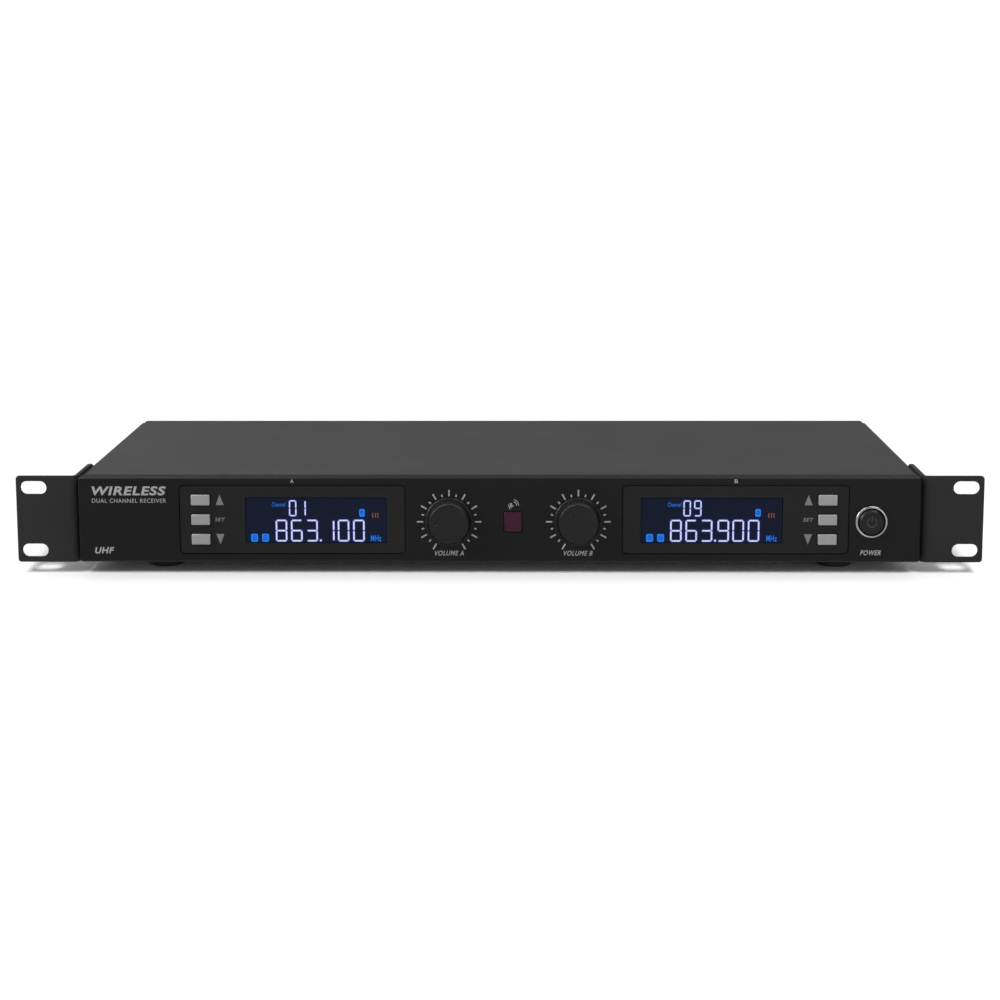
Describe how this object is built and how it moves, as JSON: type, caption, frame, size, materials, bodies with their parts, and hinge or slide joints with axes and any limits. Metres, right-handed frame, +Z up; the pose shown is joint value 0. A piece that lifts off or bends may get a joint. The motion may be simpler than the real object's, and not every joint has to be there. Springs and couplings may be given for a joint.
{
  "type": "wireless receiver unit",
  "caption": "Rack-mount two-channel wireless microphone receiver with displays, volume knobs, push keys and rear sockets.",
  "frame": {"origin": "middle of the bounding box, on the surface that the feet stand on", "axes": "+X to the right seen from the front, +Y from the front to the rear, +Z up"},
  "size_m": [0.4826, 0.2212, 0.053],
  "materials": {
    "case_steel": "fine-textured dark grey powder coat on 1 mm steel",
    "ear_steel": "fine-textured near-black powder coat on 2 mm steel",
    "panel_plastic": "fine satin grain",
    "window_acrylic": "smooth, semi-gloss dark grey",
    "display_glass": "dark blue display behind its glass",
    "key_plastic": "satin silver-grey",
    "knob_plastic": "satin black",
    "eye_acrylic": "smooth, dark purple",
    "bright_metal": "bright nickel plate",
    "dark_plastic": "moulded black",
    "lead_jacket": "smooth black jacket",
    "screw_steel": "black oxide",
    "rubber": "matt black",
    "circuit_board": "green solder mask over glass fibre",
    "tin_plate": "bright tin plate",
    "ribbon_jacket": "grey ribbon jacket"
  },
  "bodies": {
    "receiver": {"bottom_tray": "case_steel", "top_cover": "case_steel", "left_rack_ear": "ear_steel", "right_rack_ear": "ear_steel", "front_panel": "panel_plastic", "display_window_a": "window_acrylic", "display_window_b": "window_acrylic", "display_module_a": "display_glass", "display_module_b": "display_glass", "eye_window": "eye_acrylic", "power_ring": "bright_metal", "antenna_socket_a": "bright_metal", "antenna_socket_b": "bright_metal", "antenna_nut_a": "bright_metal", "antenna_nut_b": "bright_metal", "mix_output_nut": "bright_metal", "eye_sensor": "dark_plastic", "power_switch": "dark_plastic", "output_socket_a": "dark_plastic", "output_socket_b": "dark_plastic", "mix_output_jack": "dark_plastic", "power_inlet": "dark_plastic", "antenna_lead_a": "lead_jacket", "antenna_lead_b": "lead_jacket", "left_ear_screw_lower": "screw_steel", "left_ear_screw_upper": "screw_steel", "right_ear_screw_lower": "screw_steel", "right_ear_screw_upper": "screw_steel", "left_cover_screw_1": "screw_steel", "left_cover_screw_2": "screw_steel", "right_cover_screw_1": "screw_steel", "right_cover_screw_2": "screw_steel", "foot_screw_front_left": "screw_steel", "foot_screw_front_right": "screw_steel", "foot_screw_rear_left": "screw_steel", "foot_screw_rear_right": "screw_steel", "foot_front_left": "rubber", "foot_front_right": "rubber", "foot_rear_left": "rubber", "foot_rear_right": "rubber", "display_board_a": "circuit_board", "display_board_b": "circuit_board", "control_board": "circuit_board", "main_board": "circuit_board", "tuner_a": "tin_plate", "tuner_b": "tin_plate", "volume_pot_a": "tin_plate", "volume_pot_b": "tin_plate", "ribbon_cable": "ribbon_jacket"},
    "volume_control_a": {"volume_knob_a": "knob_plastic", "volume_shaft_a": "bright_metal"},
    "up_key_a": {"up_button_a": "key_plastic"},
    "set_key_a": {"set_button_a": "key_plastic"},
    "down_key_a": {"down_button_a": "key_plastic"},
    "volume_control_b": {"volume_knob_b": "knob_plastic", "volume_shaft_b": "bright_metal"},
    "up_key_b": {"up_button_b": "key_plastic"},
    "set_key_b": {"set_button_b": "key_plastic"},
    "down_key_b": {"down_button_b": "key_plastic"},
    "power_key": {"power_button": "knob_plastic"}
  },
  "joints": [
    {"name": "volume_turn_a", "type": "hinge", "parent": "receiver", "child": "volume_control_a", "pos_m": [-0.0249, -0.1018, 0.03015], "axis": [0, 1, 0], "range_deg": [-60, 240]},
    {"name": "volume_turn_b", "type": "hinge", "parent": "receiver", "child": "volume_control_b", "pos_m": [0.0395, -0.1018, 0.03015], "axis": [0, 1, 0], "range_deg": [-105, 195]},
    {"name": "up_press_a", "type": "slide", "parent": "receiver", "child": "up_key_a", "axis": [0, 1, 0], "range_m": [0, 0.0005], "stiffness_N_per_m": 1500},
    {"name": "set_press_a", "type": "slide", "parent": "receiver", "child": "set_key_a", "axis": [0, 1, 0], "range_m": [0, 0.0005], "stiffness_N_per_m": 1500},
    {"name": "down_press_a", "type": "slide", "parent": "receiver", "child": "down_key_a", "axis": [0, 1, 0], "range_m": [0, 0.0005], "stiffness_N_per_m": 1500},
    {"name": "up_press_b", "type": "slide", "parent": "receiver", "child": "up_key_b", "axis": [0, 1, 0], "range_m": [0, 0.0005], "stiffness_N_per_m": 1500},
    {"name": "set_press_b", "type": "slide", "parent": "receiver", "child": "set_key_b", "axis": [0, 1, 0], "range_m": [0, 0.0005], "stiffness_N_per_m": 1500},
    {"name": "down_press_b", "type": "slide", "parent": "receiver", "child": "down_key_b", "axis": [0, 1, 0], "range_m": [0, 0.0005], "stiffness_N_per_m": 1500},
    {"name": "power_press", "type": "slide", "parent": "receiver", "child": "power_key", "axis": [0, 1, 0], "range_m": [0, 0.0015], "stiffness_N_per_m": 1500}
  ]
}
